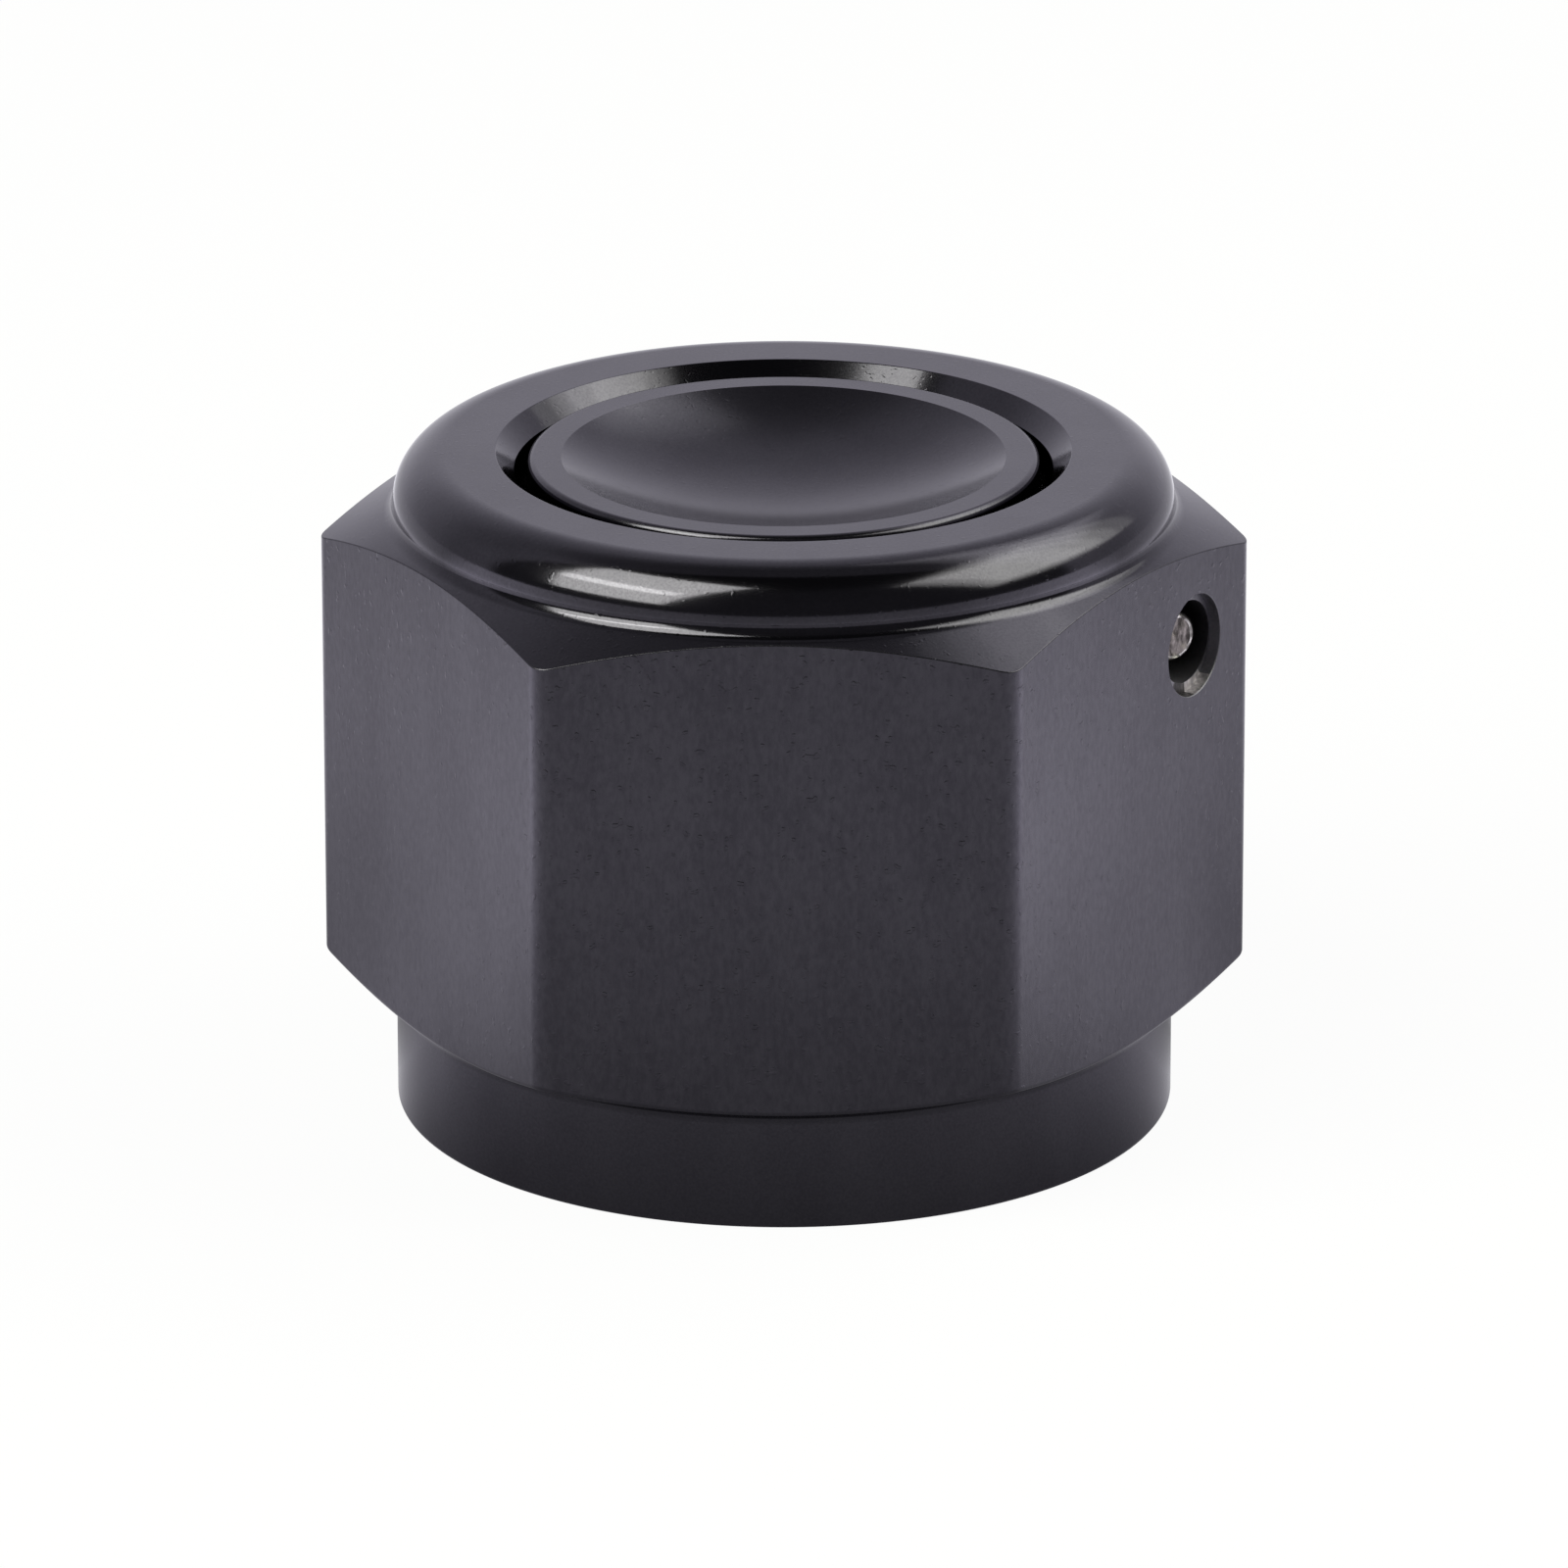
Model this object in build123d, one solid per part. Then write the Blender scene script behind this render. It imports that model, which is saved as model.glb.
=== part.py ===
"""Swivel flare plug: a hexagon swivel nut, the blanking insert inside it and their retaining wire.

Millimetres, +Z up. The origin is the centre of the nut's bottom face, where it stands.
The threaded mouth opens downwards and the dished end of the insert shows at the top.
One pair of hexagon corners lies on the X axis, so a wrench flat faces -Y.
"""
import math
import os

from build123d import *

# Outside of the nut
across_flats = 31.75
hex_corner_round = 1.0
hex_length = 19.71
top_chamfer_angle = 24.4
bottom_chamfer_angle = 22.2
skirt_length = 4.65
skirt_step = 0.5
skirt_edge_round = 0.2
skirt_root_round = 0.5
boss_height = 2.41
boss_step = 0.525
boss_round = 2.0
boss_foot_round = 0.3

# Thread side of the nut: 1-1/16 inch, 12 threads an inch, drilled to its minor size of 24.9
thread_wall = 3.425
thread_depth = 10.4
thread_entry_chamfer = 1.2
relief_undercut = 1.1
relief_length = 1.8
chamber_length = 3.4
shoulder_width = 1.9

# Insert
rim_width = 1.31
rim_drop = 0.26
rim_edge_round = 0.18
dish_depth = 2.2
head_length = 4.7
head_edge_chamfer = 0.4
seat_half_angle = 37.0
seat_lip = 1.0
seat_floor_radius = 6.5

# Retaining wire and the hole that it is fed through
wire_radius = 1.0
wire_height = 20.03
wire_wrap_angle = 300.0
wire_end_depth = 1.2
wire_end_round = 0.15
wire_hole_radius = 1.65
wire_hole_angle = 21.7
wire_pocket_radius = 2.05
wire_pocket_depth = 0.5

# Clearances
neck_clearance = 0.52
neck_mouth_chamfer = 0.75
head_clearance = 0.45
shoulder_gap = 0.3
wire_gap_in_nut = 0.06
wire_gap_in_insert = 0.15

# Sizes that follow
flat_distance = across_flats / 2
corner_distance = flat_distance / math.cos(math.radians(30))
skirt_radius = flat_distance - skirt_step
boss_radius = flat_distance - boss_step
boss_foot_height = skirt_length + hex_length
nut_length = boss_foot_height + boss_height
thread_minor_radius = flat_distance - thread_wall
relief_radius = thread_minor_radius + relief_undercut
relief_top = thread_depth + relief_length
shoulder_height = relief_top + chamber_length
neck_bore_radius = thread_minor_radius - shoulder_width
neck_radius = neck_bore_radius - neck_clearance
wire_ring_radius = (neck_radius + neck_bore_radius) / 2
rim_height = nut_length - rim_drop
dish_radius = neck_radius - rim_width
head_radius = thread_minor_radius - head_clearance
head_top = shoulder_height - shoulder_gap
head_bottom = head_top - head_length
seat_mouth_radius = head_radius - seat_lip
seat_depth = (seat_mouth_radius - seat_floor_radius) / math.tan(math.radians(seat_half_angle))


def turned(points, rounds=(), chamfers=()):
    """Solid turned about Z from an outline of (radius, height) points, with some corners broken."""
    outline = make_face(Polyline(*points, close=True))
    for corner, size in rounds:
        outline = fillet(outline.vertices().sort_by_distance(corner)[0], size)
    for corner, size in chamfers:
        outline = chamfer(outline.vertices().sort_by_distance(corner)[0], size)
    return revolve(Plane.XZ * outline, Axis.Z)


def wire_groove(clearance):
    """Ring-shaped space round the wire, half of it in the nut and half in the insert."""
    return Pos(0, 0, wire_height) * Torus(wire_ring_radius, wire_radius + clearance)


def wire_line():
    """Mouth on the wrench flat and the point where the hole's axis touches the wire ring."""
    flat_azimuth = -30.0
    lean = math.radians(wire_hole_angle)
    offset = (wire_ring_radius - flat_distance * math.sin(lean)) / math.cos(lean)
    run = flat_distance * math.cos(lean) - offset * math.sin(lean)
    face = Rot(0, 0, flat_azimuth)
    mouth = (face * Pos(flat_distance, offset, wire_height)).position
    touch = (face * Pos(flat_distance - run * math.cos(lean), offset + run * math.sin(lean), wire_height)).position
    return mouth, touch, face


def rod(start, end, radius):
    """Round bar between two points."""
    plane = Plane(origin=start, z_dir=end - start)
    return extrude(plane * Circle(radius), (end - start).length)


def wire_hole():
    """Stepped hole through the right front flat: a shallow round pocket and the feed hole."""
    mouth, touch, face = wire_line()
    outward = (mouth - touch).normalized() * (corner_distance - flat_distance + wire_hole_radius)
    feed = rod(touch, mouth + outward, wire_hole_radius)
    normal = (face * Pos(1, 0, 0)).position
    pocket = rod(mouth - normal * wire_pocket_depth, mouth + normal, wire_pocket_radius)
    return feed + pocket


def swivel_nut():
    """Hexagon nut with a round boss and skirt, chamfered ends and a stepped bore."""
    top_slope = math.tan(math.radians(top_chamfer_angle))
    bottom_slope = math.tan(math.radians(bottom_chamfer_angle))
    reach = corner_distance + 1
    cone_foot = (boss_radius, boss_foot_height)
    bore_mouth = (neck_bore_radius, nut_length)
    thread_mouth = (thread_minor_radius, 0)
    skirt_root = (skirt_radius, skirt_length)
    points = [
        thread_mouth,
        (skirt_radius, 0),
        skirt_root,
        (reach, skirt_length + (reach - skirt_radius) * bottom_slope),
        (reach, boss_foot_height - (reach - boss_radius) * top_slope),
        cone_foot,
        (boss_radius, nut_length),
        bore_mouth,
        (neck_bore_radius, shoulder_height),
        (thread_minor_radius, shoulder_height),
        (thread_minor_radius, relief_top),
        (relief_radius, relief_top),
        (relief_radius, thread_depth + relief_undercut),
        (thread_minor_radius, thread_depth),
    ]
    rounds = [
        ((skirt_radius, 0), skirt_edge_round),
        (skirt_root, skirt_root_round),
        (cone_foot, boss_foot_round),
        ((boss_radius, nut_length), boss_round),
    ]
    chamfers = [
        (bore_mouth, neck_mouth_chamfer),
        (thread_mouth, thread_entry_chamfer),
    ]
    hexagon = RegularPolygon(flat_distance, 6, major_radius=False)
    hexagon = fillet(hexagon.vertices(), hex_corner_round)
    body = turned(points, rounds, chamfers) & extrude(hexagon, nut_length)
    return body - wire_groove(wire_gap_in_nut) - wire_hole()


def plug_insert():
    """Blanking insert: dished top, neck with a wire groove, and a head with the conical seat."""
    seat_top = head_bottom + seat_depth
    rim_edge = (neck_radius, rim_height)
    points = [
        (0, seat_top),
        (seat_floor_radius, seat_top),
        (seat_mouth_radius, head_bottom),
        (head_radius, head_bottom),
        (head_radius, head_top),
        (neck_radius, head_top),
        rim_edge,
        (0, rim_height),
    ]
    chamfers = [
        ((head_radius, head_bottom), head_edge_chamfer),
        ((head_radius, head_top), head_edge_chamfer),
    ]
    dish_sphere_radius = (dish_radius**2 + dish_depth**2) / (2 * dish_depth)
    dish = Pos(0, 0, rim_height - dish_depth + dish_sphere_radius) * Sphere(dish_sphere_radius)
    body = turned(points, [(rim_edge, rim_edge_round)], chamfers)
    return body - dish - wire_groove(wire_gap_in_insert)


def retaining_wire():
    """Round wire: a straight tail in the hole, then most of one turn in the groove."""
    mouth, touch, _ = wire_line()
    inward = (touch - mouth).normalized()
    start = mouth + inward * wire_end_depth
    turn_start = math.degrees(math.atan2(touch.Y, touch.X))
    section = Plane.XZ * Pos(wire_ring_radius, wire_height) * Circle(wire_radius)
    ring = Rot(0, 0, turn_start) * revolve(section, Axis.Z, wire_wrap_angle)
    wire = rod(start, touch, wire_radius) + ring
    ends = [wire.faces().sort_by_distance(start)[0]]
    turn_end = math.radians(turn_start + wire_wrap_angle)
    tip = Vector(wire_ring_radius * math.cos(turn_end), wire_ring_radius * math.sin(turn_end), wire_height)
    ends.append(wire.faces().sort_by_distance(tip)[0])
    return fillet([edge for face in ends for edge in face.edges()], wire_end_round)


pieces = {
    "swivel_nut": swivel_nut,
    "plug_insert": plug_insert,
    "retaining_wire": retaining_wire,
}
os.makedirs("parts", exist_ok=True)
for name, make in pieces.items():
    export_step(make(), f"parts/{name}.step")
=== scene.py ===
"""Dressed model of a swivel flare plug: hexagon swivel nut, blanking insert and retaining wire.

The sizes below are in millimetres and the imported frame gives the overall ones. The nut stands on its
skirt with a wrench flat towards -Y, where the photograph was taken from.
"""

import logging
import math
from dataclasses import dataclass
from enum import Enum
from typing import Any, Sequence

import bmesh
import bpy
import numpy as np
from mathutils import Matrix, Vector


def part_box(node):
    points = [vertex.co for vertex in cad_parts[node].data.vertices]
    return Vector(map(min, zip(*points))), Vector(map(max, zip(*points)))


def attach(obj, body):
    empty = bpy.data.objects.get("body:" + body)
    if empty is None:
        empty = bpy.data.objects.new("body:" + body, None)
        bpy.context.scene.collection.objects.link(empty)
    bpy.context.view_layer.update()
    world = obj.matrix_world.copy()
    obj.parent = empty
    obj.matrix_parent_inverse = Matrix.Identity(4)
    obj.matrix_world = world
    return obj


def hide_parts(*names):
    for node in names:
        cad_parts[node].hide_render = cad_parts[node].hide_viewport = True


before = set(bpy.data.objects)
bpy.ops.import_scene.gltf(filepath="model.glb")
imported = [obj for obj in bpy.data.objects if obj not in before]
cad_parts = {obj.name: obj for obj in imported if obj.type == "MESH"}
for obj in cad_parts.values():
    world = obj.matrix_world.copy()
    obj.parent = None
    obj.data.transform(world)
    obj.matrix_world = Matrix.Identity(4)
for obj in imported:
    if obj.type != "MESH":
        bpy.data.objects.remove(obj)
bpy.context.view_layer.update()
MM = 0.001
PHOTO_PIXELS = 1600
HEX_SIDES = 6
SIXTH = math.tau / HEX_SIDES
GUARD_MM = 0.02  # rows and columns this close to a rounding keep the flat face beside it shaded flat
GROOVE_ROWS = 15
NOISE_LOW, NOISE_HIGH = 0.38, 0.62  # nearly all of a noise pattern lies between these

logging.basicConfig(level=logging.INFO, format="%(message)s")
log = logging.getLogger("flare_plug")

Column = float | np.ndarray  # one value all round, or one for each column
Stops = tuple[tuple[float, float], ...]  # place and brightness of each stop of a fade
Tree = bpy.types.NodeTree
Socket = bpy.types.NodeSocket


def linear(code: str) -> tuple[float, float, float, float]:
    """Turns an sRGB hex colour into the linear colour that shaders take.

    Args:
        code: Colour such as "#4b494f".

    Returns:
        Linear red, green and blue, with an alpha of 1.
    """
    parts = [int(code[i:i + 2], 16) / 255 for i in (1, 3, 5)]
    lit = [c / 12.92 if c <= 0.04045 else ((c + 0.055) / 1.055) ** 2.4 for c in parts]
    return (lit[0], lit[1], lit[2], 1.0)


def add_node(tree: Tree, kind: str, inputs: dict[Any, Any] | None = None, **settings: Any) -> bpy.types.Node:
    """Adds a node with its settings, values and links.

    Args:
        tree: Node tree that gets the node.
        kind: Blender's type name of the node.
        inputs: Value or linked output socket for each input, by name or index.
        **settings: Properties of the node itself.

    Returns:
        The new node.
    """
    node = tree.nodes.new(kind)
    for key, value in settings.items():
        setattr(node, key, value)
    for key, value in (inputs or {}).items():
        if isinstance(value, Socket):
            tree.links.new(value, node.inputs[key])
        else:
            node.inputs[key].default_value = value
    return node


def new_material(name: str) -> tuple[bpy.types.Material, Tree]:
    """Makes an empty node material.

    Args:
        name: Name of the finish.

    Returns:
        The material and its cleared node tree.
    """
    material = bpy.data.materials.new(name)
    material.use_nodes = True
    material.node_tree.nodes.clear()
    return material, material.node_tree


@dataclass(frozen=True)
class Corner:
    """One corner of a turned outline, in millimetres, and the rounding that breaks it."""

    radius: Column
    height: Column
    rounding: float = 0.0
    steps: int = 4


@dataclass(frozen=True)
class Rows:
    """Ready-made rows of an outline, such as a groove or a thread, in millimetres."""

    radii: np.ndarray
    heights: np.ndarray


def rounded(before: np.ndarray, corner: np.ndarray, after: np.ndarray, size: float, steps: int) -> np.ndarray:
    """Rounds one corner of an outline in every column at once.

    Args:
        before: Point before the corner, one (radius, height) row per column.
        corner: The corner itself, in the same form.
        after: Point after the corner, in the same form.
        size: Rounding radius in millimetres.
        steps: Number of spans along the arc.

    Returns:
        The arc's points with a guard point on either side, indexed by step, column and coordinate.
    """
    back = before - corner
    ahead = after - corner
    back /= np.linalg.norm(back, axis=1, keepdims=True)
    ahead /= np.linalg.norm(ahead, axis=1, keepdims=True)
    half = np.arccos(np.clip((back * ahead).sum(axis=1), -1, 1))[:, None] / 2
    middle = back + ahead
    middle /= np.linalg.norm(middle, axis=1, keepdims=True)
    centre = corner + middle * size / np.sin(half)
    first = corner + back * size / np.tan(half) - centre
    last = corner + ahead * size / np.tan(half) - centre
    sweep = math.pi - 2 * half
    share = np.linspace(0, 1, steps + 1)[:, None, None]
    arc = centre + (np.sin((1 - share) * sweep) * first + np.sin(share * sweep) * last) / np.sin(sweep)
    return np.concatenate([arc[:1] + back * GUARD_MM, arc, arc[-1:] + ahead * GUARD_MM])


def trace(outline: Sequence[Corner | Rows], columns: int) -> tuple[np.ndarray, list[int]]:
    """Turns an outline's corners into rows of points.

    Args:
        outline: Corners and ready-made rows, in order along the outline.
        columns: Number of columns round the axis.

    Returns:
        Points indexed by row, column and (radius, height), and the first row of each outline item.
    """
    ends = []
    for item in outline:
        if isinstance(item, Rows):
            shape = np.broadcast_to(item.radii, (len(item.radii), columns))
            tall = np.broadcast_to(item.heights, (len(item.heights), columns))
            ends.append(np.stack([shape, tall], axis=2))
        else:
            point = np.zeros((1, columns, 2))
            point[0, :, 0] = item.radius
            point[0, :, 1] = item.height
            ends.append(point)
    rows: list[np.ndarray] = []
    starts = []
    count = 0
    for i, item in enumerate(outline):
        points = ends[i]
        if isinstance(item, Corner) and item.rounding > 0:
            after = ends[(i + 1) % len(ends)][0]
            points = rounded(ends[i - 1][-1], points[0], after, item.rounding, item.steps)
        starts.append(count)
        count += len(points)
        rows.append(points)
    return np.concatenate(rows), starts


def skin(
    name: str, spots: list[Sequence[float]], faces: list[tuple[int, ...]], slots: list[int] | None = None,
) -> bpy.types.Mesh:
    """Makes a closed mesh, with doubled points joined and every face looking out.

    Args:
        name: Name of the mesh.
        spots: Points, in metres.
        faces: Point numbers of each face.
        slots: Material slot of each face, or None for the first slot.

    Returns:
        The new mesh.
    """
    mesh = bpy.data.meshes.new(name)
    mesh.from_pydata(spots, [], faces)
    if slots is not None:
        mesh.polygons.foreach_set("material_index", slots)
    edit = bmesh.new()
    edit.from_mesh(mesh)
    bmesh.ops.remove_doubles(edit, verts=edit.verts, dist=1e-8)
    bmesh.ops.recalc_face_normals(edit, faces=edit.faces)
    edit.to_mesh(mesh)
    edit.free()
    return mesh


def lathe(
    name: str, azimuths: np.ndarray, points: np.ndarray, closed: bool, finishes: np.ndarray | None = None,
) -> bpy.types.Mesh:
    """Makes the closed skin that an outline sweeps about Z.

    Args:
        name: Name of the mesh.
        azimuths: Angle of each column, in radians.
        points: Outline points, indexed by row, column and (radius, height), in millimetres.
        closed: Whether the last row joins the first, as on a ring.
        finishes: Material slot of each face, indexed by row and column, or None for the first slot.

    Returns:
        The new mesh, in metres.
    """
    rows, columns = points.shape[:2]
    x = points[:, :, 0] * np.cos(azimuths)
    y = points[:, :, 0] * np.sin(azimuths)
    spots = np.stack([x, y, points[:, :, 1]], axis=2).reshape(-1, 3) * MM
    bands = rows if closed else rows - 1
    faces = []
    for row in range(bands):
        here = row * columns
        there = (row + 1) % rows * columns
        for column in range(columns):
            beside = (column + 1) % columns
            faces.append((here + column, here + beside, there + beside, there + column))
    slots = None if finishes is None else finishes[:bands].ravel().tolist()
    return skin(name, spots.tolist(), faces, slots)


def add_piece(name: str, mesh: bpy.types.Mesh) -> bpy.types.Object:
    """Puts a mesh into the scene as an object.

    Args:
        name: Name of the piece.
        mesh: Its mesh, in metres.

    Returns:
        The new object.
    """
    piece = bpy.data.objects.new(name, mesh)
    bpy.context.scene.collection.objects.link(piece)
    return piece


def smooth(piece: bpy.types.Object, crease_degrees: float) -> None:
    """Shades a piece smooth except across its real edges.

    Args:
        piece: Piece to shade.
        crease_degrees: Angle above which an edge stays sharp.
    """
    mesh = piece.data
    mesh.polygons.foreach_set("use_smooth", [True] * len(mesh.polygons))
    mesh.set_sharp_from_angle(angle=math.radians(crease_degrees))


class Lay(Enum):
    """Direction in which a machining tool left its marks."""

    TURNED = "rings about the axis"
    MILLED = "lines along the axis"


@dataclass(frozen=True)
class BlackAnodising:
    """Aluminium, anodised and dyed black: a dark satin metal that keeps its machining marks.

    The dye leaves a trace of purple, and the oxide film gives soft reflections. Light and dark grain, wide
    clouds of tone, the tool's rings and a few pits break them up. The real grain is about 0.04 mm, too fine
    to show, so it is drawn as coarse as grain_mm.
    """

    name: str
    lay: Lay
    colour: str = "#545259"
    low_colour: str = "#4a484f"
    edge_tint: str = "#f0eff2"
    roughness: float = 0.12
    grain_mm: float = 0.1
    grain_height_mm: float = 0.0006
    grain_stretch: float = 3.0
    ring_mm: float = 0.16
    ring_height_mm: float = 0.0002
    pit_mm: float = 0.26
    pit_height_mm: float = 0.002
    pit_slope: tuple[float, float] = (0.66, 0.74)
    cloud_mm: float = 3.2
    grain_share: float = 0.6

    def material(self) -> bpy.types.Material:
        """Makes the material.

        Returns:
            The finished material.
        """
        material, tree = new_material(self.name)
        place = add_node(tree, "ShaderNodeTexCoord").outputs["Object"]
        stretch = (1, 1, 1 / self.grain_stretch)
        drawn = add_node(
            tree, "ShaderNodeVectorMath", {0: place, 1: stretch}, operation="MULTIPLY",
        ).outputs[0]
        grain_place = drawn if self.lay is Lay.MILLED else place
        grain = add_node(
            tree, "ShaderNodeTexNoise",
            {"Vector": grain_place, "Scale": 1 / (self.grain_mm * MM), "Detail": 2.0, "Roughness": 0.6},
        ).outputs["Fac"]
        cloud = add_node(
            tree, "ShaderNodeTexNoise",
            {"Vector": drawn, "Scale": 1 / (self.cloud_mm * MM), "Detail": 3.0, "Roughness": 0.55},
        ).outputs["Fac"]
        speck = add_node(
            tree, "ShaderNodeTexNoise",
            {"Vector": place, "Scale": 1 / (self.pit_mm * MM), "Detail": 1.0, "Roughness": 0.5},
        ).outputs["Fac"]
        pit = add_node(
            tree, "ShaderNodeMapRange",
            {"Value": speck, "From Min": self.pit_slope[0], "From Max": self.pit_slope[1]},
        ).outputs[0]
        tone = add_node(tree, "ShaderNodeMix", {0: self.grain_share, 2: cloud, 3: grain}).outputs[0]
        share = add_node(
            tree, "ShaderNodeMapRange", {"Value": tone, "From Min": NOISE_LOW, "From Max": NOISE_HIGH},
        ).outputs[0]
        colour = add_node(
            tree, "ShaderNodeMix",
            {0: share, 6: linear(self.low_colour), 7: linear(self.colour)},
            data_type="RGBA",
        ).outputs[2]
        normal = add_node(
            tree, "ShaderNodeBump", {"Height": grain, "Distance": self.grain_height_mm * MM},
        ).outputs[0]
        if self.lay is Lay.TURNED:
            split = add_node(tree, "ShaderNodeSeparateXYZ", {0: place})
            spread = add_node(tree, "ShaderNodeVectorMath", {0: place, 1: (1, 1, 0)}, operation="MULTIPLY")
            reach = add_node(tree, "ShaderNodeVectorMath", {0: spread.outputs[0]}, operation="LENGTH")
            along = add_node(
                tree, "ShaderNodeMath", {0: reach.outputs["Value"], 1: split.outputs["Z"]},
                operation="SUBTRACT",
            )
            rings = add_node(
                tree, "ShaderNodeTexNoise",
                {"W": along.outputs[0], "Scale": 1 / (self.ring_mm * MM), "Detail": 2.0},
                noise_dimensions="1D",
            ).outputs["Fac"]
            normal = add_node(
                tree, "ShaderNodeBump",
                {"Height": rings, "Distance": self.ring_height_mm * MM, "Normal": normal},
            ).outputs[0]
        normal = add_node(
            tree, "ShaderNodeBump", {"Height": pit, "Distance": self.pit_height_mm * MM, "Normal": normal},
        ).outputs[0]
        shader = add_node(
            tree, "ShaderNodeBsdfPrincipled",
            {
                "Base Color": colour, "Metallic": 1.0, "Roughness": self.roughness, "Normal": normal,
                "Specular Tint": linear(self.edge_tint),
            },
        )
        add_node(tree, "ShaderNodeOutputMaterial", {"Surface": shader.outputs[0]})
        return material


@dataclass(frozen=True)
class BareMetal:
    """Metal with nothing on it: bright where it was drawn, mottled grey where it was torn or scraped."""

    name: str
    colour: str
    dark_colour: str
    roughness: float
    mottle_mm: float
    mottle_height_mm: float
    stretch: tuple[float, float, float] = (1.0, 1.0, 0.4)

    def material(self) -> bpy.types.Material:
        """Makes the material.

        Returns:
            The finished material.
        """
        material, tree = new_material(self.name)
        place = add_node(tree, "ShaderNodeTexCoord").outputs["Object"]
        drawn = add_node(tree, "ShaderNodeVectorMath", {0: place, 1: self.stretch}, operation="MULTIPLY")
        mottle = add_node(
            tree, "ShaderNodeTexNoise",
            {"Vector": drawn.outputs[0], "Scale": 1 / (self.mottle_mm * MM), "Detail": 3.0, "Roughness": 0.6},
        ).outputs["Fac"]
        share = add_node(
            tree, "ShaderNodeMapRange", {"Value": mottle, "From Min": NOISE_LOW, "From Max": NOISE_HIGH},
        )
        colour = add_node(
            tree, "ShaderNodeMix",
            {0: share.outputs[0], 6: linear(self.dark_colour), 7: linear(self.colour)},
            data_type="RGBA",
        ).outputs[2]
        bump = add_node(tree, "ShaderNodeBump", {"Height": mottle, "Distance": self.mottle_height_mm * MM})
        shader = add_node(
            tree, "ShaderNodeBsdfPrincipled",
            {"Base Color": colour, "Metallic": 1.0, "Roughness": self.roughness, "Normal": bump.outputs[0]},
        )
        add_node(tree, "ShaderNodeOutputMaterial", {"Surface": shader.outputs[0]})
        return material


class NutFinish(Enum):
    """Material slots of the nut, in their order."""

    TURNED = 0
    MILLED = 1
    SCRAPED = 2
    # painted shading on part of the pocket's lower wall
    RUBBED = 3
    DRILLED = 4


@dataclass
class WireHole:
    """Feed hole for the wire: a shallow round pocket in one flat and a leaning bore behind it.

    Feeding the wire scraped the black off the pocket's lower right, down to the metal.
    """

    flat_distance: float
    ring_radius: float
    height: float = 20.03
    flat_azimuth: float = -30.0
    lean: float = 21.7
    bore_radius: float = 1.65
    pocket_radius: float = 2.05
    pocket_depth: float = 0.5
    edge_break: float = 0.03
    scraped_arc: tuple[float, float] = (-86.0, -50.0)
    # painted shading: columns of the pocket's lower wall that get a duller grey for how the light falls there
    painted_shading_arc: tuple[float, float] = (-116.0, -86.0)
    cutter_reach: float = 3.0
    columns: int = 120

    def _turn(self) -> Matrix:
        """Turns the flat's own axes to their place round the nut."""
        return Matrix.Rotation(math.radians(self.flat_azimuth), 3, "Z")

    def mouth(self) -> Vector:
        """Centre of the hole's mouth on the flat, in millimetres."""
        lean = math.radians(self.lean)
        offset = (self.ring_radius - self.flat_distance * math.sin(lean)) / math.cos(lean)
        return self._turn() @ Vector((self.flat_distance, offset, self.height))

    def inward(self) -> Vector:
        """Direction of the bore, from its mouth towards the groove."""
        lean = math.radians(self.lean)
        return self._turn() @ Vector((-math.cos(lean), math.sin(lean), 0))

    def run(self) -> float:
        """Length from the mouth to where the bore's axis touches the wire ring, in millimetres."""
        return -self.mouth().dot(self.inward())

    def _cutter(
        self, name: str, outline: list[Corner | Rows], axis: Vector, turns: np.ndarray, finishes: np.ndarray,
    ) -> bpy.types.Object:
        """Makes one closed cutter at the hole's mouth.

        Args:
            name: Name of the cutter.
            outline: Its outline about its own axis.
            axis: Direction of that axis, out of the nut.
            turns: Angle of each column, from the flat's right-hand side upwards, in radians.
            finishes: Material slot of each face, indexed by row and column.

        Returns:
            The cutter.
        """
        points, _ = trace(outline, len(turns))
        mesh = lathe(name, turns, points, False, finishes)
        up = Vector((0, 0, 1))
        facing = Matrix((up.cross(axis), up, axis)).transposed()
        mesh.transform(Matrix.Translation(self.mouth() * MM) @ facing.to_4x4())
        return add_piece(name, mesh)

    def cutters(self) -> list[bpy.types.Object]:
        """Makes the two closed cutters.

        Returns:
            The pocket's cutter and the bore's cutter.
        """
        clear = self.cutter_reach
        turns = np.linspace(-math.pi, math.pi, self.columns, endpoint=False)
        middles = np.degrees(turns) + 180 / self.columns
        scraped = (middles > self.scraped_arc[0]) & (middles < self.scraped_arc[1])
        pocket_painted_shading = (middles > self.painted_shading_arc[0]) & (middles < self.painted_shading_arc[1])
        edge = self.edge_break
        wall = 3  # the row where the pocket's wall starts
        pocket: list[Corner | Rows] = [
            Corner(0, clear),
            Corner(self.pocket_radius + edge + clear, clear),
            Corner(self.pocket_radius + edge, 0),
            Corner(self.pocket_radius, -edge),
            Corner(self.pocket_radius, -self.pocket_depth),
            Corner(0, -self.pocket_depth),
        ]
        finishes = np.full((len(pocket), self.columns), NutFinish.DRILLED.value)
        finishes[wall:, scraped] = NutFinish.SCRAPED.value
        # painted shading on the pocket's lower left wall
        finishes[wall:, pocket_painted_shading] = NutFinish.RUBBED.value
        bore: list[Corner | Rows] = [
            Corner(0, clear),
            Corner(self.bore_radius, clear),
            Corner(self.bore_radius, -self.run()),
            Corner(0, -self.run()),
        ]
        drilled = np.full((len(bore), self.columns), NutFinish.DRILLED.value)
        return [
            self._cutter("pocket_cutter", pocket, self._turn() @ Vector((1, 0, 0)), turns, finishes),
            self._cutter("bore_cutter", bore, -self.inward(), turns, drilled),
        ]


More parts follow.
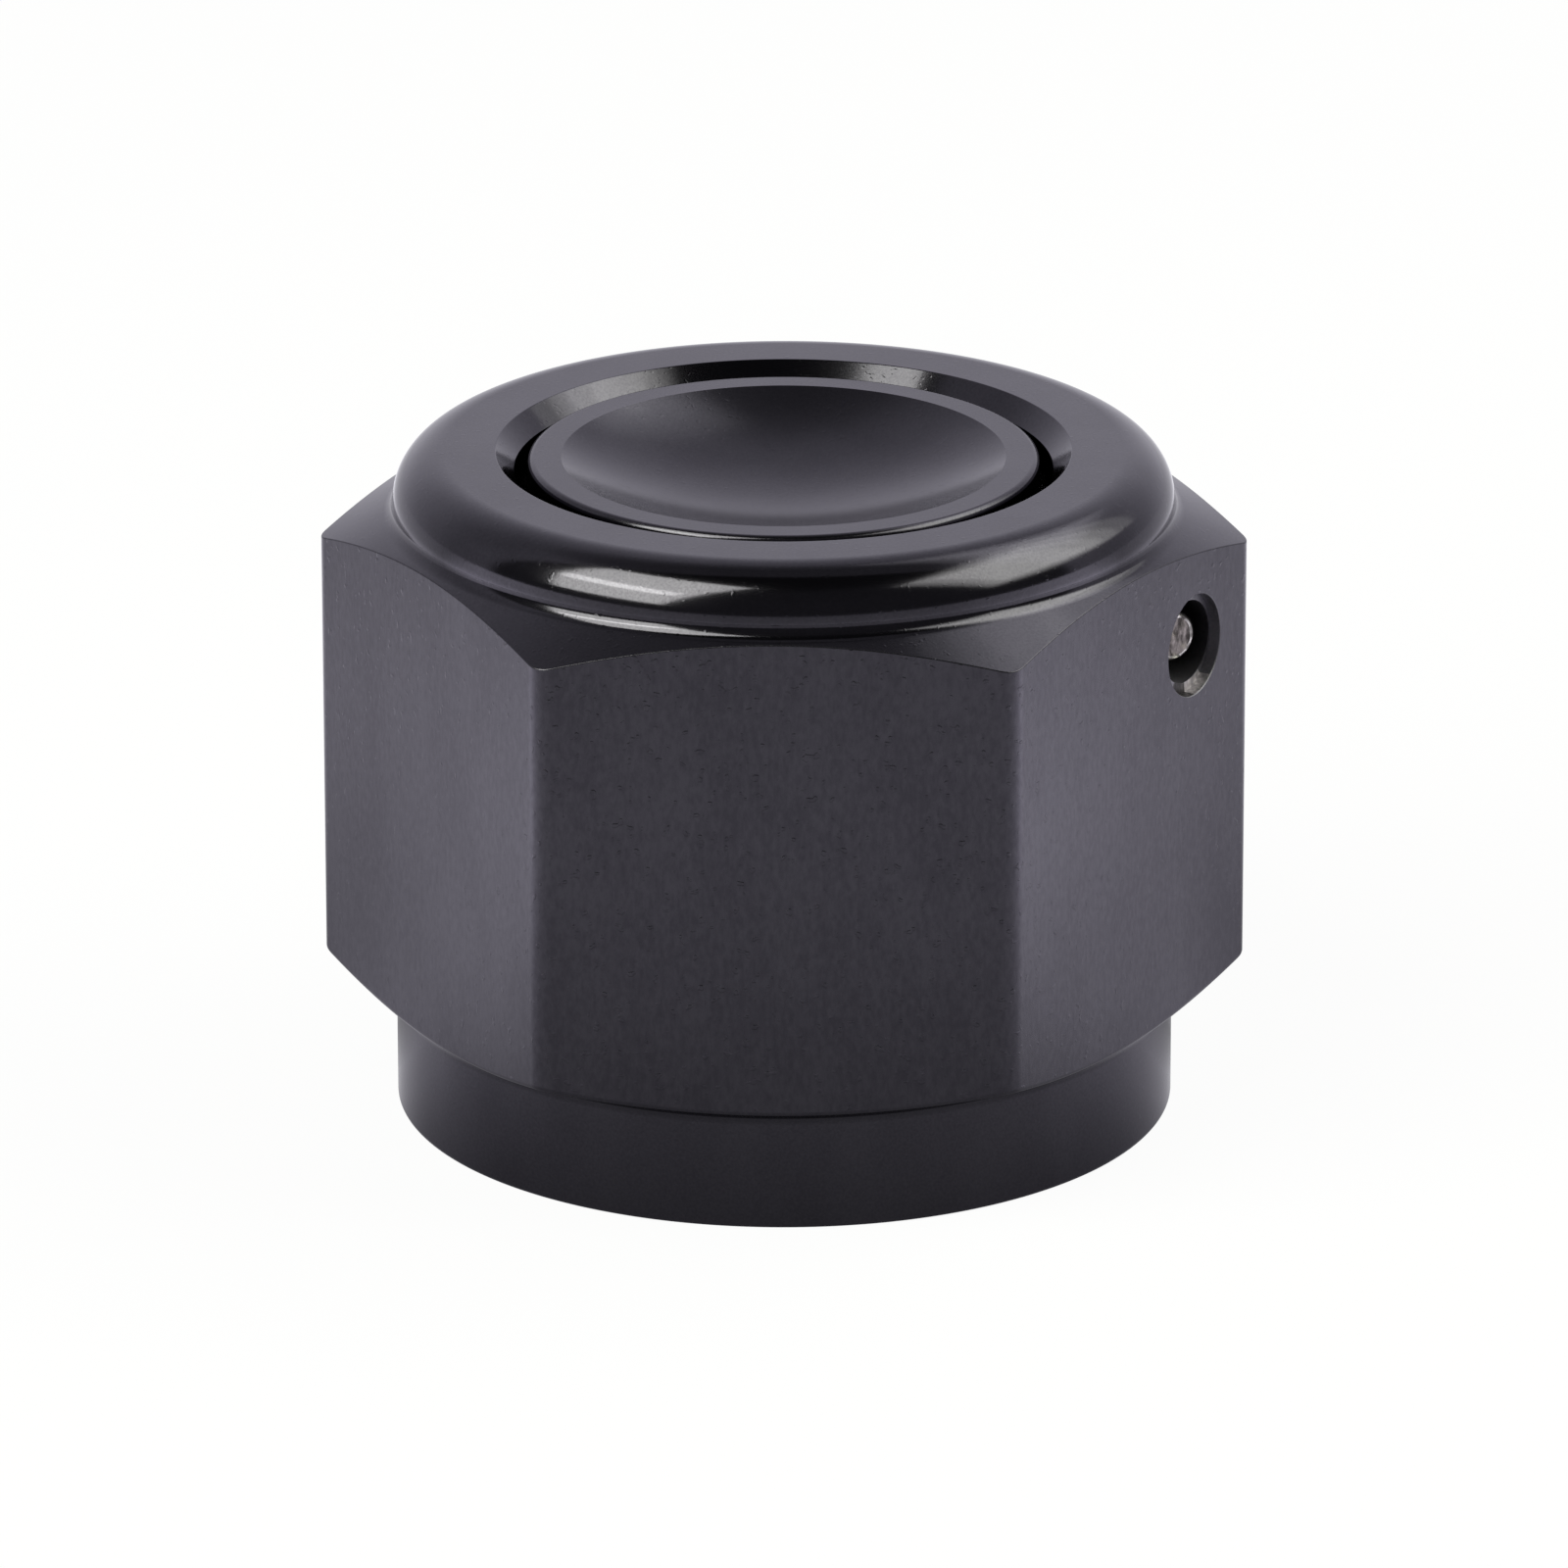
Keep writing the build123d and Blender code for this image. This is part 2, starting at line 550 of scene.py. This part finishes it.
@dataclass
class InsideThread:
    """Inside thread of the nut, cut as a helical groove into the drilled wall."""

    minor_radius: float
    depth: float
    mouth_chamfer: float
    relief_radius: float
    pitch: float = 25.4 / 12
    major_radius: float = 13.49
    root_flat_share: float = 1 / 8
    flank_degrees: float = 30.0
    row_step: float = 0.08

    def rows(self, azimuths: np.ndarray) -> Rows:
        """Works out the wall from the relief groove down to the nut's mouth.

        Args:
            azimuths: Angle of each column, in radians.

        Returns:
            Rows of the wall, from the top down.
        """
        top = self.depth + self.relief_radius - self.minor_radius
        count = math.ceil(top / self.row_step)
        heights = np.linspace(top, 0, count)[:, None] + np.zeros(len(azimuths))
        phase = (heights / self.pitch - azimuths / math.tau) % 1.0
        from_root = np.abs(phase - 0.5) * self.pitch - self.root_flat_share * self.pitch / 2
        flank = self.major_radius - np.maximum(from_root, 0) / math.tan(math.radians(self.flank_degrees))
        cut = np.maximum(flank, self.minor_radius)
        run_out = self.minor_radius + heights - self.depth
        entry = self.minor_radius + self.mouth_chamfer - heights
        return Rows(np.maximum.reduce([cut, run_out, entry]), heights)


@dataclass
class SwivelNut:
    """Hexagon nut with a round boss and skirt, chamfered ends, a stepped bore and an inside thread."""

    flat_distance: float
    length: float
    corner_round: float = 1.0
    top_chamfer_degrees: float = 24.4
    bottom_chamfer_degrees: float = 22.2
    top_edge_round: float = 0.05
    bottom_edge_round: float = 0.25
    skirt_length: float = 4.65
    skirt_step: float = 0.5
    skirt_edge_round: float = 0.2
    skirt_root_round: float = 0.5
    boss_height: float = 2.41
    boss_step: float = 0.525
    boss_round: float = 2.0
    boss_foot_round: float = 0.6
    thread_wall: float = 3.425
    thread_depth: float = 10.4
    thread_entry_chamfer: float = 1.2
    relief_undercut: float = 1.1
    relief_length: float = 1.8
    chamber_length: float = 3.4
    shoulder_width: float = 1.9
    neck_mouth_chamfer: float = 0.75
    wire_radius: float = 1.0
    wire_height: float = 20.03
    wire_gap: float = 0.06
    neck_clearance: float = 0.52
    small_round: float = 0.05
    corner_columns: int = 10
    flat_columns: int = 46
    crease_degrees: float = 30.0

    @property
    def bore_radius(self) -> float:
        """Radius of the neck bore at the top."""
        return self.flat_distance - self.thread_wall - self.shoulder_width

    @property
    def wire_ring_radius(self) -> float:
        """Radius of the wire's centre line round the axis."""
        return self.bore_radius - self.neck_clearance / 2

    def _columns(self) -> tuple[np.ndarray, np.ndarray]:
        """Places the columns so that the rounded corners get their own.

        Returns:
            The angle of each column, in radians, and the hexagon's reach there.
        """
        centre = (self.flat_distance - self.corner_round) / math.cos(SIXTH / 2)
        lean = np.linspace(-SIXTH / 2, SIXTH / 2, self.corner_columns)
        x = centre + self.corner_round * np.cos(lean)
        y = self.corner_round * np.sin(lean)
        corner_angles = np.arctan2(y, x)
        guard = GUARD_MM / self.flat_distance
        first = corner_angles[-1] + guard
        flat_angles = np.linspace(first, SIXTH - first, self.flat_columns)
        flat_reach = self.flat_distance / np.cos(flat_angles - SIXTH / 2)
        side = np.concatenate([corner_angles, flat_angles])
        angles = np.concatenate([side + k * SIXTH for k in range(HEX_SIDES)])
        reach = np.tile(np.concatenate([np.hypot(x, y), flat_reach]), HEX_SIDES)
        return angles, reach

    def _groove(self) -> Rows:
        """Half-round wire groove in the neck bore, from the top down."""
        size = self.wire_radius + self.wire_gap
        open_angle = math.acos((self.bore_radius - self.wire_ring_radius) / size)
        sweep = np.linspace(open_angle, -open_angle, GROOVE_ROWS)[:, None]
        return Rows(self.wire_ring_radius + size * np.cos(sweep), self.wire_height + size * np.sin(sweep))

    def mesh(self) -> bpy.types.Mesh:
        """Makes the nut's skin, without the wire hole.

        Returns:
            The mesh, with the wrench flats and their top edge as its second finish.
        """
        angles, reach = self._columns()
        top_slope = math.tan(math.radians(self.top_chamfer_degrees))
        bottom_slope = math.tan(math.radians(self.bottom_chamfer_degrees))
        skirt = self.flat_distance - self.skirt_step
        boss = self.flat_distance - self.boss_step
        foot = self.length - self.boss_height
        minor = self.flat_distance - self.thread_wall
        relief = minor + self.relief_undercut
        relief_top = self.thread_depth + self.relief_length
        shoulder = relief_top + self.chamber_length
        thread = InsideThread(minor, self.thread_depth, self.thread_entry_chamfer, relief)
        mouth = self.bore_radius + self.neck_mouth_chamfer
        outline: list[Corner | Rows] = [
            Corner(skirt, 0, self.skirt_edge_round, 8),
            Corner(skirt, self.skirt_length, self.skirt_root_round, 6),
            Corner(reach, self.skirt_length + (reach - skirt) * bottom_slope, self.bottom_edge_round, 6),
            Corner(reach, foot - (reach - boss) * top_slope, self.top_edge_round),
            Corner(boss, foot, self.boss_foot_round, 8),
            Corner(boss, self.length, self.boss_round, 24),
            Corner(mouth, self.length, self.small_round, 3),
            Corner(self.bore_radius, self.length - self.neck_mouth_chamfer, self.small_round, 3),
            self._groove(),
            Corner(self.bore_radius, shoulder),
            Corner(minor, shoulder),
            Corner(minor, relief_top),
            Corner(relief, relief_top),
            thread.rows(angles),
        ]
        points, starts = trace(outline, len(angles))
        finishes = np.full(points.shape[:2], NutFinish.TURNED.value)
        bottom_edge_end, top_chamfer = starts[3] - 2, starts[4] - 1
        finishes[bottom_edge_end:top_chamfer] = NutFinish.MILLED.value
        return lathe("swivel_nut_skin", angles, points, True, finishes)

    def build(self, finishes: dict[NutFinish, BlackAnodising | BareMetal]) -> bpy.types.Object:
        """Makes the nut, cuts its wire hole and dresses it.

        Args:
            finishes: Finish for each kind of surface.

        Returns:
            The finished nut.
        """
        nut = add_piece("nut_body", self.mesh())
        for kind in NutFinish:
            nut.data.materials.append(finishes[kind].material())
        hole = WireHole(self.flat_distance, self.wire_ring_radius, self.wire_height)
        for cutter in hole.cutters():
            for material in nut.data.materials:
                cutter.data.materials.append(material)
            cut = nut.modifiers.new("cut", "BOOLEAN")
            cut.operation = "DIFFERENCE"
            cut.solver = "MANIFOLD"
            cut.object = cutter
            bpy.context.view_layer.update()
            evaluated = nut.evaluated_get(bpy.context.evaluated_depsgraph_get())
            result = bpy.data.meshes.new_from_object(evaluated)
            nut.modifiers.clear()
            nut.data = result
            bpy.data.objects.remove(cutter)
        smooth(nut, self.crease_degrees)
        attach(nut, "nut")
        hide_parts("swivel_nut")
        return nut


@dataclass
class PlugInsert:
    """Blanking insert: dished top, neck with a wire groove, and a head with the conical seat."""

    head_radius: float
    top: float
    bottom: float
    neck_radius: float
    wire_ring_radius: float
    head_length: float = 4.7
    head_edge_chamfer: float = 0.4
    rim_width: float = 1.31
    rim_edge_round: float = 0.24
    dish_depth: float = 2.2
    seat_half_angle: float = 37.0
    seat_lip: float = 1.0
    seat_floor_radius: float = 6.5
    wire_radius: float = 1.0
    wire_height: float = 20.03
    wire_gap: float = 0.15
    small_round: float = 0.05
    seat_floor_round: float = 0.15
    neck_root_round: float = 0.1
    dish_rows: int = 28
    columns: int = 256
    crease_degrees: float = 25.0

    def _dish(self) -> Rows:
        """Ball-turned dish from its edge to the centre."""
        edge = self.neck_radius - self.rim_width
        ball = (edge ** 2 + self.dish_depth ** 2) / (2 * self.dish_depth)
        lean = np.linspace(math.asin(edge / ball), 0, self.dish_rows)[:, None]
        floor = self.top - self.dish_depth
        return Rows(ball * np.sin(lean), floor + ball * (1 - np.cos(lean)))

    def _groove(self) -> Rows:
        """Half-round wire groove in the neck, from the bottom up."""
        size = self.wire_radius + self.wire_gap
        open_angle = math.acos((self.wire_ring_radius - self.neck_radius) / size)
        sweep = np.linspace(-open_angle, open_angle, GROOVE_ROWS)[:, None]
        return Rows(self.wire_ring_radius - size * np.cos(sweep), self.wire_height + size * np.sin(sweep))

    def mesh(self) -> bpy.types.Mesh:
        """Makes the insert's skin.

        Returns:
            The closed mesh.
        """
        seat_mouth = self.head_radius - self.seat_lip
        seat_rise = (seat_mouth - self.seat_floor_radius) / math.tan(math.radians(self.seat_half_angle))
        head_top = self.bottom + self.head_length
        bevel = self.head_edge_chamfer
        outline: list[Corner | Rows] = [
            Corner(0, self.bottom + seat_rise),
            Corner(self.seat_floor_radius, self.bottom + seat_rise, self.seat_floor_round),
            Corner(seat_mouth, self.bottom, self.small_round, 3),
            Corner(self.head_radius - bevel, self.bottom),
            Corner(self.head_radius, self.bottom + bevel),
            Corner(self.head_radius, head_top - bevel),
            Corner(self.head_radius - bevel, head_top),
            Corner(self.neck_radius, head_top, self.neck_root_round),
            self._groove(),
            Corner(self.neck_radius, self.top, self.rim_edge_round, 5),
            self._dish(),
        ]
        points, _ = trace(outline, self.columns)
        turns = np.linspace(0, math.tau, self.columns, endpoint=False)
        return lathe("plug_insert_skin", turns, points, False)

    def build(self, finish: BlackAnodising) -> bpy.types.Object:
        """Makes and dresses the insert.

        Args:
            finish: Finish of the turned metal.

        Returns:
            The finished insert.
        """
        insert = add_piece("insert_body", self.mesh())
        insert.data.materials.append(finish.material())
        smooth(insert, self.crease_degrees)
        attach(insert, "insert")
        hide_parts("plug_insert")
        return insert


@dataclass
class RetainingWire:
    """Round wire that joins nut and insert: a straight tail in the hole, then most of one turn."""

    hole: WireHole
    radius: float = 1.0
    end_depth: float = 1.2
    wrap_degrees: float = 300.0
    end_round: float = 0.22
    end_steps: int = 4
    face_rings: int = 6
    tail_rings: int = 8
    turn_step_degrees: float = 2.0
    sides: int = 48
    crease_degrees: float = 40.0
    tear_height: float = 0.05
    tear_waves: tuple[float, float, float] = (9.0, 3.1, 7.0)

    def _frame_at(self, distance: float) -> tuple[Vector, Vector]:
        """Finds the wire's centre and direction.

        Args:
            distance: Length along the wire from its cut end, in millimetres.

        Returns:
            The centre and the unit direction.
        """
        inward = self.hole.inward()
        start = self.hole.mouth() + inward * self.end_depth
        straight = self.hole.run() - self.end_depth
        if distance <= straight:
            return start + inward * distance, inward
        touch = start + inward * straight
        turned = Matrix.Rotation((distance - straight) / self.hole.ring_radius, 3, "Z")
        around = turned @ Vector((touch.x, touch.y, 0))
        return around + Vector((0, 0, touch.z)), turned @ inward

    def _stations(self) -> list[tuple[float, float]]:
        """Lists (distance along the wire, radius there), from the cut end to the far end."""
        straight = self.hole.run() - self.end_depth
        total = straight + math.radians(self.wrap_degrees) * self.hole.ring_radius
        ease = [i / self.end_steps * math.pi / 2 for i in range(self.end_steps + 1)]
        edge = self.end_round
        near = [(edge * (1 - math.sin(a)), self.radius - edge * (1 - math.cos(a))) for a in reversed(ease)]
        face = [(0.0, (self.radius - edge) * i / self.face_rings) for i in range(self.face_rings)]
        turn = math.radians(self.turn_step_degrees) * self.hole.ring_radius
        count = math.ceil((total - straight - edge) / turn)
        middle = [(straight * i / self.tail_rings, self.radius) for i in range(1, self.tail_rings)]
        middle += [(straight + (total - straight - edge) * i / count, self.radius) for i in range(count)]
        far = [(total - s, r) for s, r in reversed(near)]
        return face + near + middle + far + [(total, 0.0)]

    def mesh(self) -> bpy.types.Mesh:
        """Makes the wire's skin, with a torn face at the cut end.

        Returns:
            The closed mesh, in metres.
        """
        stations = self._stations()
        spots = []
        for distance, radius in stations:
            centre, ahead = self._frame_at(distance)
            side = ahead.cross(Vector((0, 0, 1))).normalized()
            for k in range(self.sides):
                angle = math.tau * k / self.sides
                spot = centre + side * radius * math.cos(angle) + Vector((0, 0, radius * math.sin(angle)))
                if distance == 0.0:
                    across, slant, up = (wave * place for wave, place in zip(self.tear_waves, spot))
                    spot += ahead * self.tear_height * (1 + math.sin(up + slant) * math.cos(across))
                spots.append(spot * MM)
        faces = []
        slots = []
        for row, (distance, _) in enumerate(stations[1:]):
            for k in range(self.sides):
                beside = (k + 1) % self.sides
                here = row * self.sides
                faces.append((here + k, here + beside, here + self.sides + beside, here + self.sides + k))
                slots.append(1 if distance == 0.0 else 0)
        return skin("wire_skin", spots, faces, slots)

    def build(self, drawn: BareMetal, torn: BareMetal) -> bpy.types.Object:
        """Makes and dresses the wire.

        Args:
            drawn: Finish along the wire.
            torn: Finish of the cut end's face.

        Returns:
            The finished wire.
        """
        wire = add_piece("wire_ring", self.mesh())
        for finish in (drawn, torn):
            wire.data.materials.append(finish.material())
        smooth(wire, self.crease_degrees)
        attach(wire, "nut")
        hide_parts("retaining_wire")
        return wire


@dataclass(frozen=True)
class Softbox:
    """One rectangular studio lamp that faces the object. Azimuth 0 is +X and 90 is +Y."""

    name: str
    azimuth: float
    elevation: float
    width_mm: float
    height_mm: float
    brightness: float
    colour: str
    distance_mm: float = 600.0

    def build(self, target: Vector) -> bpy.types.Object:
        """Adds the lamp.

        Args:
            target: Point that the lamp faces, in metres.

        Returns:
            The lamp object.
        """
        data = bpy.data.lights.new(self.name, "AREA")
        data.shape = "RECTANGLE"
        data.size = self.width_mm * MM
        data.size_y = self.height_mm * MM
        data.energy = math.pi * self.brightness * data.size * data.size_y
        data.color = linear(self.colour)[:3]
        lamp = bpy.data.objects.new(self.name, data)
        bpy.context.scene.collection.objects.link(lamp)
        turn, rise = math.radians(self.azimuth), math.radians(self.elevation)
        away = Vector((math.cos(turn) * math.cos(rise), math.sin(turn) * math.cos(rise), math.sin(rise)))
        lamp.location = target + away * self.distance_mm * MM
        lamp.rotation_euler = away.to_track_quat("Z", "Y").to_euler()
        lamp.visible_camera = False
        return lamp


@dataclass
class Studio:
    """White sweep behind and under the object, open and dark towards the camera, and three softboxes.

    The camera sees the sweep pure white, as the photograph shows it. Metal shows the same sweep, as bright as
    it is on that side, and everything else is lit by it. The dyed metal gets most of its tone from the floor.
    """

    target: Vector
    floor_size_mm: float = 6000.0
    floor_colour: str = "#f4f4f4"
    shadow_share: float = 0.06
    sweep_colour: str = "#f9f8ff"
    ambient_share: float = 0.8
    sweep_fade: Stops = (
        (0.0, 0.08), (0.06, 0.4), (0.2, 0.4), (0.35, 0.38),
        (0.5, 0.44), (0.75, 0.66), (0.92, 0.88), (1.0, 0.98),
    )
    sweep_top_fade: Stops = (
        (0.0, 1.0), (0.4, 1.0), (0.62, 0.88), (0.78, 0.82), (0.88, 0.44), (0.93, 0.34), (1.0, 0.34),
    )
    floor_reach_mm: float = 160.0
    floor_level: float = 2.5
    # painted shadow: to metal the floor is dark close to the object, brightest at about 60 mm and dimmer far
    # out
    floor_painted_shadow_fade: Stops = (
        (0.1, 0.25), (0.15, 0.35), (0.21, 0.44), (0.28, 0.6),
        (0.38, 0.84), (0.5, 0.8), (0.7, 0.5), (1.0, 0.45),
    )
    floor_turn: Stops = (
        (0.0, 0.3), (0.04, 0.31), (0.16, 0.38), (0.32, 0.61),
        (0.46, 0.92), (0.55, 1.0), (0.675, 0.46), (1.0, 0.8),
    )

    def lamps(self) -> list[Softbox]:
        """Lists the panels of the three softboxes: panels inside one another make a soft edge."""
        return [
            Softbox("left_softbox", 218.6, 40.0, 412, 612, 4.4, "#fbffee"),
            Softbox("left_softbox_core", 216.5, 38.0, 350, 85, 4.4, "#fbffee"),
            Softbox("right_softbox_1", 6.0, 41.0, 780, 500, 0.6, "#fbffed"),
            Softbox("right_softbox_2", 2.0, 41.0, 640, 450, 0.8, "#fbffed"),
            Softbox("right_softbox_3", -1.0, 41.0, 500, 400, 0.9, "#fbffed"),
            Softbox("right_softbox_4", -3.0, 41.0, 350, 340, 1.0, "#fbffed"),
            Softbox("back_softbox_1", 43.0, 51.0, 400, 320, 0.35, "#fdfffa"),
            Softbox("back_softbox_2", 44.0, 51.0, 300, 250, 0.4, "#fdfffa"),
            Softbox("back_softbox_3", 45.0, 51.0, 200, 180, 0.4, "#fdfffa"),
        ]

    def _seen(self, tree: Tree) -> tuple[Socket, Socket]:
        """Tells apart the rays that show the sweep from those that only light it.

        Args:
            tree: Node tree of the sweep or the floor.

        Returns:
            The share of camera rays, and that of camera, glossy and transmission rays together.
        """
        path = add_node(tree, "ShaderNodeLightPath").outputs
        camera = path["Is Camera Ray"]
        both = add_node(tree, "ShaderNodeMath", {0: camera, 1: path["Is Glossy Ray"]}, operation="MAXIMUM")
        seen = add_node(
            tree, "ShaderNodeMath", {0: both.outputs[0], 1: path["Is Transmission Ray"]}, operation="MAXIMUM",
        )
        return camera, seen.outputs[0]

    def _glow(self, tree: Tree, fades: Sequence[tuple[Socket, Stops]], level: float) -> Socket:
        """Works out how bright the sweep or the floor is at each place.

        Args:
            tree: Node tree of the sweep or the floor.
            fades: Places from 0 to 1, each with the stops of the brightness along it.
            level: What a brightness of 1 stands for.

        Returns:
            The brightness, in the sweep's colour.
        """
        glow: Any = [c * level for c in linear(self.sweep_colour)[:3]]
        for place, stops in fades:
            ramp = add_node(tree, "ShaderNodeValToRGB", {0: place})
            elements = ramp.color_ramp.elements
            while len(elements) < len(stops):
                elements.new(0.5)
            for element, (spot, share) in zip(elements, stops):
                element.position = spot
                element.color = (share, share, share, 1)
            glow = add_node(
                tree, "ShaderNodeVectorMath", {0: ramp.outputs[0], 1: glow}, operation="MULTIPLY",
            ).outputs[0]
        return glow

    def world(self) -> None:
        """Makes the upper sweep: white to the camera, and darker away from the back to metal and as light."""
        world = bpy.data.worlds.new("white_sweep")
        bpy.context.scene.world = world
        world.use_nodes = True
        tree = world.node_tree
        tree.nodes.clear()
        look = add_node(tree, "ShaderNodeTexCoord").outputs["Generated"]
        way = add_node(tree, "ShaderNodeSeparateXYZ", {0: look}).outputs
        glow = self._glow(tree, [(way["Y"], self.sweep_fade), (way["Z"], self.sweep_top_fade)], 1.0)
        camera, seen = self._seen(tree)
        shown = add_node(
            tree, "ShaderNodeMix", {0: camera, 6: glow, 7: linear("#ffffff")}, data_type="RGBA",
        ).outputs[2]
        sweep = add_node(tree, "ShaderNodeBackground", {"Color": shown, "Strength": 1.0})
        ambient = add_node(tree, "ShaderNodeBackground", {"Color": glow, "Strength": self.ambient_share})
        mixed = add_node(tree, "ShaderNodeMixShader", {0: seen, 1: ambient.outputs[0], 2: sweep.outputs[0]})
        add_node(tree, "ShaderNodeOutputWorld", {0: mixed.outputs[0]})

    def floor(self) -> bpy.types.Object:
        """Makes the floor: white to the camera with a part of the object's real shadow; metal sees a painted
        shadow round it.

        Returns:
            The floor, which isn't part of the object.
        """
        half = self.floor_size_mm * MM / 2
        corners = [(-half, -half, 0), (half, -half, 0), (half, half, 0), (-half, half, 0)]
        mesh = bpy.data.meshes.new("floor_sheet")
        mesh.from_pydata(corners, [], [(0, 1, 2, 3)])
        floor = add_piece("studio_floor", mesh)
        material, tree = new_material("white_floor")
        place = add_node(tree, "ShaderNodeTexCoord").outputs["Object"]
        reach = add_node(tree, "ShaderNodeVectorMath", {0: place}, operation="LENGTH").outputs["Value"]
        out = add_node(
            tree, "ShaderNodeMapRange", {"Value": reach, "From Max": self.floor_reach_mm * MM},
        ).outputs[0]
        way = add_node(tree, "ShaderNodeVectorMath", {0: place}, operation="NORMALIZE").outputs[0]
        back = add_node(tree, "ShaderNodeSeparateXYZ", {0: way}).outputs["Y"]
        turn = add_node(tree, "ShaderNodeMapRange", {"Value": back, "From Min": -1.0}).outputs[0]
        glow = self._glow(tree, [(out, self.floor_painted_shadow_fade), (turn, self.floor_turn)], self.floor_level)
        camera, seen = self._seen(tree)
        shown = add_node(
            tree, "ShaderNodeMix", {0: camera, 6: glow, 7: linear("#ffffff")}, data_type="RGBA",
        ).outputs[2]
        lit_share = add_node(
            tree, "ShaderNodeMath", {0: seen, 1: 1 - self.shadow_share}, operation="MULTIPLY",
        ).outputs[0]
        matte = add_node(tree, "ShaderNodeBsdfDiffuse", {"Color": linear(self.floor_colour)})
        lit = add_node(tree, "ShaderNodeEmission", {"Color": shown, "Strength": 1.0})
        mixed = add_node(tree, "ShaderNodeMixShader", {0: lit_share, 1: matte.outputs[0], 2: lit.outputs[0]})
        add_node(tree, "ShaderNodeOutputMaterial", {"Surface": mixed.outputs[0]})
        floor.data.materials.append(material)
        return floor

    def build(self) -> None:
        """Sets up world, floor and lamps."""
        self.world()
        self.floor()
        for lamp in self.lamps():
            lamp.build(self.target)


@dataclass
class PhotoCamera:
    """Camera at the photograph's viewing angle, distance and framing."""

    azimuth_degrees: float = 1.152
    elevation_degrees: float = 19.83
    roll_degrees: float = -0.066
    distance_mm: float = 536.8
    focal_pixels: float = 13858.4
    aim_height_mm: float = 12.797
    sensor_mm: float = 36.0

    def build(self) -> bpy.types.Object:
        """Adds the camera and makes it the scene's.

        Returns:
            The camera object.
        """
        data = bpy.data.cameras.new("photo_camera")
        data.sensor_width = self.sensor_mm
        data.lens = self.focal_pixels * self.sensor_mm / PHOTO_PIXELS
        data.clip_start = 0.01
        data.clip_end = 20.0
        camera = bpy.data.objects.new("photo_camera", data)
        bpy.context.scene.collection.objects.link(camera)
        turn, rise = math.radians(self.azimuth_degrees), math.radians(self.elevation_degrees)
        back = Vector((math.sin(turn) * math.cos(rise), -math.cos(turn) * math.cos(rise), math.sin(rise)))
        camera.location = Vector((0, 0, self.aim_height_mm * MM)) + back * self.distance_mm * MM
        camera.rotation_mode = "QUATERNION"
        level = back.to_track_quat("Z", "Y")
        roll = Matrix.Rotation(math.radians(self.roll_degrees), 3, "Z").to_quaternion()
        camera.rotation_quaternion = level @ roll
        bpy.context.scene.camera = camera
        return camera


def main() -> None:
    """Builds the plug, the studio and the camera."""
    nut_low, nut_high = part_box("swivel_nut")
    insert_low, insert_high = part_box("plug_insert")
    bpy.context.scene.view_settings.view_transform = "Standard"

    # Turned and anodised aluminium: smooth, with clear highlights that follow the rings
    turned = BlackAnodising("black_anodised_turned", Lay.TURNED)
    # The same off a worn tool, on the insert: softer, so the dish glows and doesn't mirror
    spun = BlackAnodising("black_anodised_spun", Lay.TURNED, roughness=0.18)
    # Milled flats: matt and mottled along the axis, so they show tone and no reflections
    milled = BlackAnodising(
        "black_anodised_milled", Lay.MILLED, roughness=0.26,
        grain_mm=0.19, grain_height_mm=0.002, grain_stretch=2.1, pit_mm=0.34, pit_height_mm=0.009,
    )
    # Drilled and pocketed walls: rough, and with painted light: a paler grey than the black, so the hole's
    # shaded side shows against its dark inside
    drilled = BlackAnodising(
        "black_anodised_drilled_painted_paler", Lay.TURNED, colour="#85838a", low_colour="#77757c", roughness=0.5,
    )
    # Aluminium with the black scraped off: a dull silver chip. Beside it, painted shading: a duller grey
    # patch on the pocket's lower wall for how the light falls there
    scraped = BareMetal("scraped_aluminium", "#cac5c9", "#9b979c", 0.5, 0.2, 0.01)
    pocket_painted_shading = BareMetal("pocket_wall_painted_shading", "#5e5b5d", "#3f3d40", 0.5, 0.2, 0.01)
    # Stainless wire: bright along its drawn side, dull and streaked on its sheared end
    drawn = BareMetal("drawn_stainless_wire", "#cbc6c6", "#a8a4a4", 0.3, 0.2, 0.002)
    torn = BareMetal("sheared_stainless_wire", "#aba2a2", "#4b4646", 0.5, 0.32, 0.05)
    nut = SwivelNut(flat_distance=nut_high[1] / MM, length=nut_high[2] / MM)
    insert = PlugInsert(
        head_radius=insert_high[0] / MM,
        top=insert_high[2] / MM,
        bottom=insert_low[2] / MM,
        neck_radius=nut.bore_radius - nut.neck_clearance,
        wire_ring_radius=nut.wire_ring_radius,
    )
    wire = RetainingWire(WireHole(nut.flat_distance, nut.wire_ring_radius, nut.wire_height))
    nut_finishes = {
        NutFinish.TURNED: turned,
        NutFinish.MILLED: milled,
        NutFinish.SCRAPED: scraped,
        NutFinish.RUBBED: pocket_painted_shading,
        NutFinish.DRILLED: drilled,
    }
    for piece in (nut.build(nut_finishes), insert.build(spun), wire.build(drawn, torn)):
        log.info("%s has %d faces", piece.name, len(piece.data.polygons))

    Studio(target=Vector((0, 0, nut.length / 2 * MM))).build()
    camera = PhotoCamera().build()
    log.info("%s at %s", camera.name, tuple(round(c, 4) for c in camera.location))


if __name__ == "__main__":
    main()
